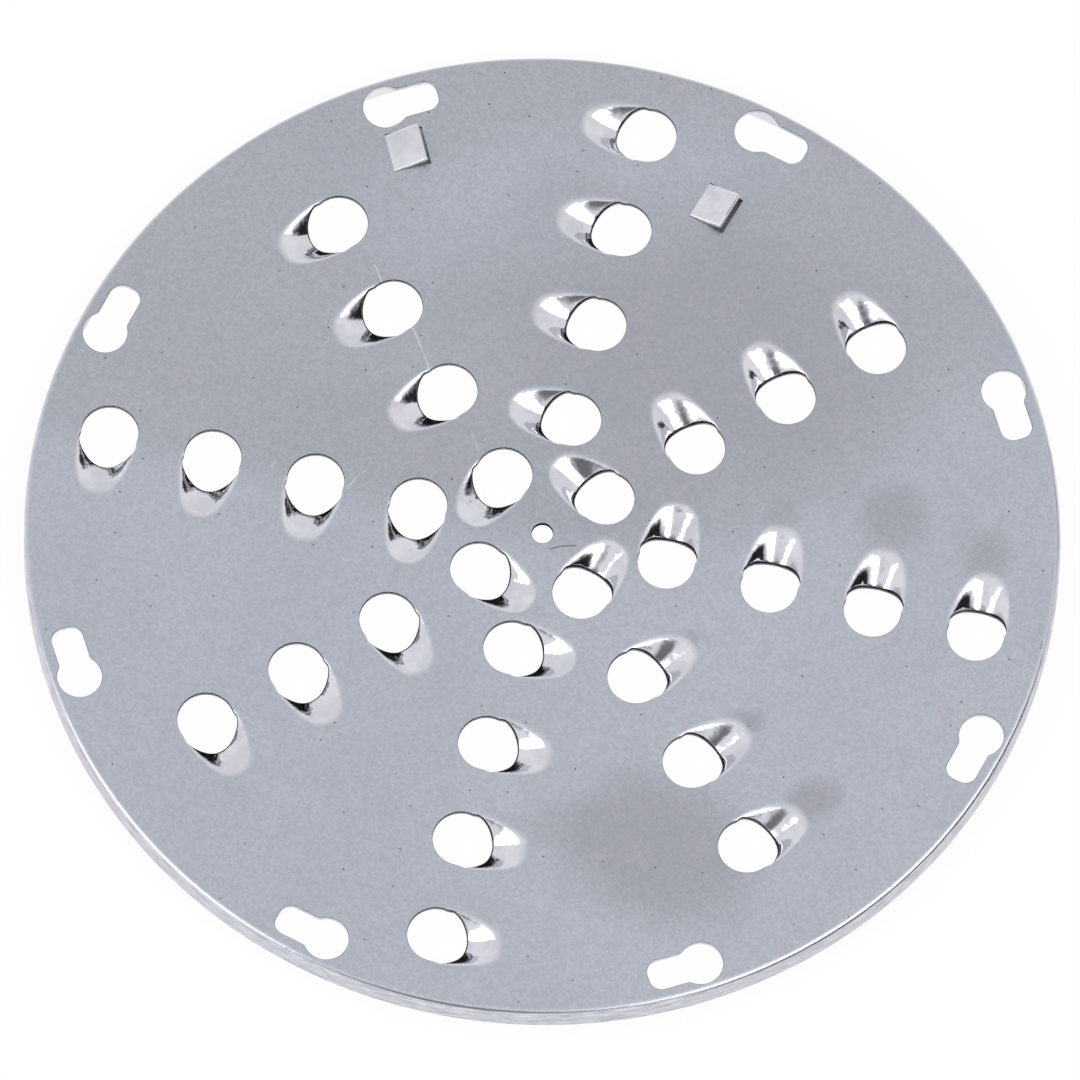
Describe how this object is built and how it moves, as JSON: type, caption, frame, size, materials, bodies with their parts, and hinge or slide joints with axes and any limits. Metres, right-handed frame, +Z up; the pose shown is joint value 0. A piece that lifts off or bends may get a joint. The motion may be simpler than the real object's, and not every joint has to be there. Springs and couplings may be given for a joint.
{
  "type": "food processor shredder disc",
  "caption": "Round pressed steel shredder plate with a turned-down rim, scoop teeth behind round holes, keyhole drive slots and bent-up locating tabs.",
  "frame": {"origin": "on the disc's axis, in the plane of the rim's edge that it lies on", "axes": "+Z up along the disc's axis, out of the face that the tabs stand on; +X through an outermost tooth hole"},
  "size_m": [0.2286, 0.2286, 0.0095],
  "materials": {
    "steel": "dull grey rolled sheet, burnished bright in the pressed scoops and along the rim bend"
  },
  "bodies": {
    "root": {"shredder_disc": "steel"}
  },
  "joints": []
}
